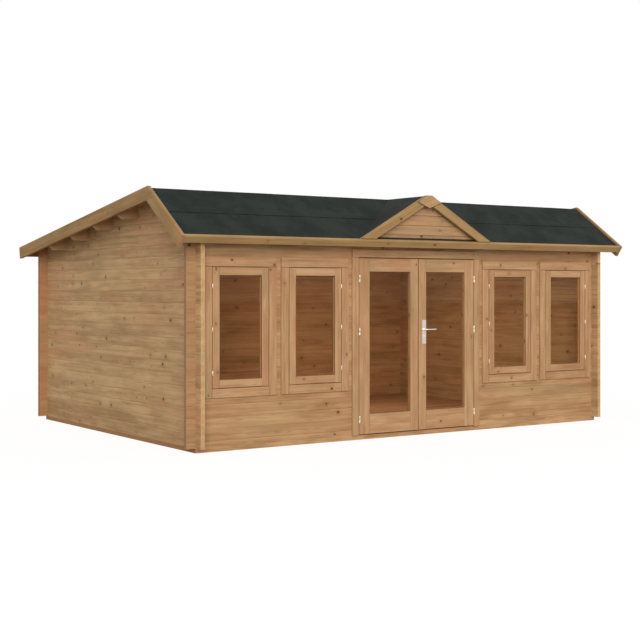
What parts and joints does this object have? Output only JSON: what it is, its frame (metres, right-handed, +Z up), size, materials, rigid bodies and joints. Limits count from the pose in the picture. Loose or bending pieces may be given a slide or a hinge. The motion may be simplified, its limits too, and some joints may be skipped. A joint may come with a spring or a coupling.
{
  "type": "log cabin",
  "caption": "Timber log cabin with interlocking log corners, felt roof with a gablet over glazed double doors, side-hung casement windows and a boarded floor.",
  "frame": {"origin": "ground level at the middle of the footprint", "axes": "+X along the front to the right, +Y from the door side to the back, +Z up"},
  "size_m": [5.828, 4.136, 2.5449],
  "materials": {
    "log_wood": "clear oiled spruce logs with knots",
    "trim_wood": "planed and oiled spruce boards",
    "board_wood": "tongued and grooved spruce boards",
    "roofing_felt": "mineral surfaced bitumen felt, matt",
    "glass": "clear window glass",
    "steel": "satin plated steel"
  },
  "bodies": {
    "cabin": {"base_bearers": "log_wood", "floor_joists": "log_wood", "floor_deck": "board_wood", "left_wall": "log_wood", "right_wall": "log_wood", "rear_wall": "log_wood", "front_wall_left": "log_wood", "front_wall_right": "log_wood", "front_wall_top": "log_wood", "roof_boards_front": "board_wood", "roof_boards_rear": "board_wood", "roof_felt": "roofing_felt", "purlins": "log_wood", "rear_bargeboards": "trim_wood", "front_bargeboards": "trim_wood", "front_fascia": "trim_wood", "rear_fascia": "trim_wood", "gablet_boards_right": "board_wood", "gablet_boards_left": "board_wood", "gablet_felt": "roofing_felt", "gablet_front": "board_wood", "gablet_barge_right": "trim_wood", "gablet_barge_left": "trim_wood", "gablet_plate": "trim_wood", "window_panes": "glass", "window_hinges": "steel", "door_frame": "trim_wood", "threshold_strip": "steel", "door_hinge_pins": "steel", "window_frame_1": "trim_wood", "window_sash_1": "trim_wood", "window_frame_2": "trim_wood", "window_sash_2": "trim_wood", "window_frame_3": "trim_wood", "window_sash_3": "trim_wood", "window_frame_4": "trim_wood", "window_sash_4": "trim_wood"},
    "left_door": {"door_leaf_left": "trim_wood", "door_pane_left": "glass", "leaf_hinges_left": "steel"},
    "right_door": {"door_leaf_right": "trim_wood", "door_pane_right": "glass", "leaf_hinges_right": "steel", "handle_plates": "steel"},
    "lever": {"door_lever": "steel"}
  },
  "joints": [
    {"name": "left_door_hinge", "type": "hinge", "parent": "cabin", "child": "left_door", "pos_m": [-0.7715, -1.882, 0.205], "axis": [0, 0, -1], "range_deg": [0, 110]},
    {"name": "right_door_hinge", "type": "hinge", "parent": "cabin", "child": "right_door", "pos_m": [0.7715, -1.882, 0.205], "axis": [0, 0, 1], "range_deg": [0, 110]},
    {"name": "lever_pivot", "type": "hinge", "parent": "right_door", "child": "lever", "pos_m": [0.079, -1.854, 1.117], "axis": [0, 1, 0], "range_deg": [0, 40], "stiffness_Nm_per_rad": 0.8, "springref_deg": -40.11}
  ]
}
